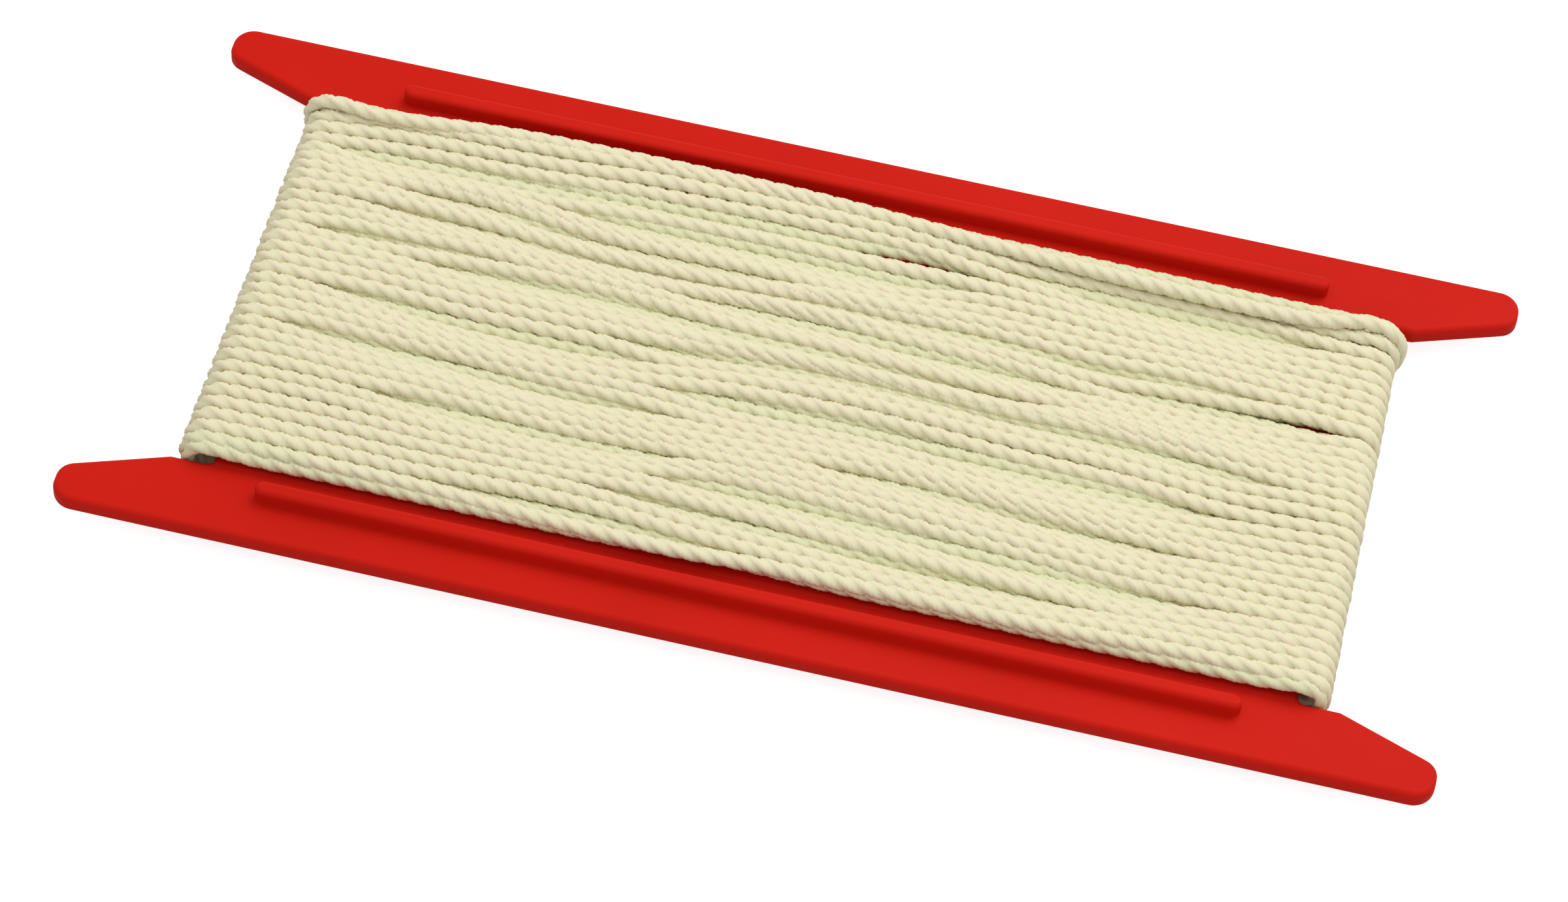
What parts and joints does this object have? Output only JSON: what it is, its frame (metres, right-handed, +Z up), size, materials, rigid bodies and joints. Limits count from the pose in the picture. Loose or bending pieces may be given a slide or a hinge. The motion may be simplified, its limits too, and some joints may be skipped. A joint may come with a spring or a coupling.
{
  "type": "string reel",
  "caption": "Flat H-shaped plastic winder with four horns and a bead along each rail, wound with a twisted cotton string.",
  "frame": {"origin": "on the surface that the reel lies on, below the middle of the web", "axes": "+X along the reel from horn to horn, +Y across it, +Z up out of its flat face"},
  "size_m": [0.2, 0.094, 0.012],
  "materials": {
    "moulding": "satin moulded red",
    "string": "twisted natural cotton"
  },
  "bodies": {
    "root": {"web_panel": "moulding", "near_rail": "moulding", "far_rail": "moulding", "near_top_bead": "moulding", "far_top_bead": "moulding", "near_bottom_bead": "moulding", "far_bottom_bead": "moulding", "string_winding": "string"}
  },
  "joints": []
}
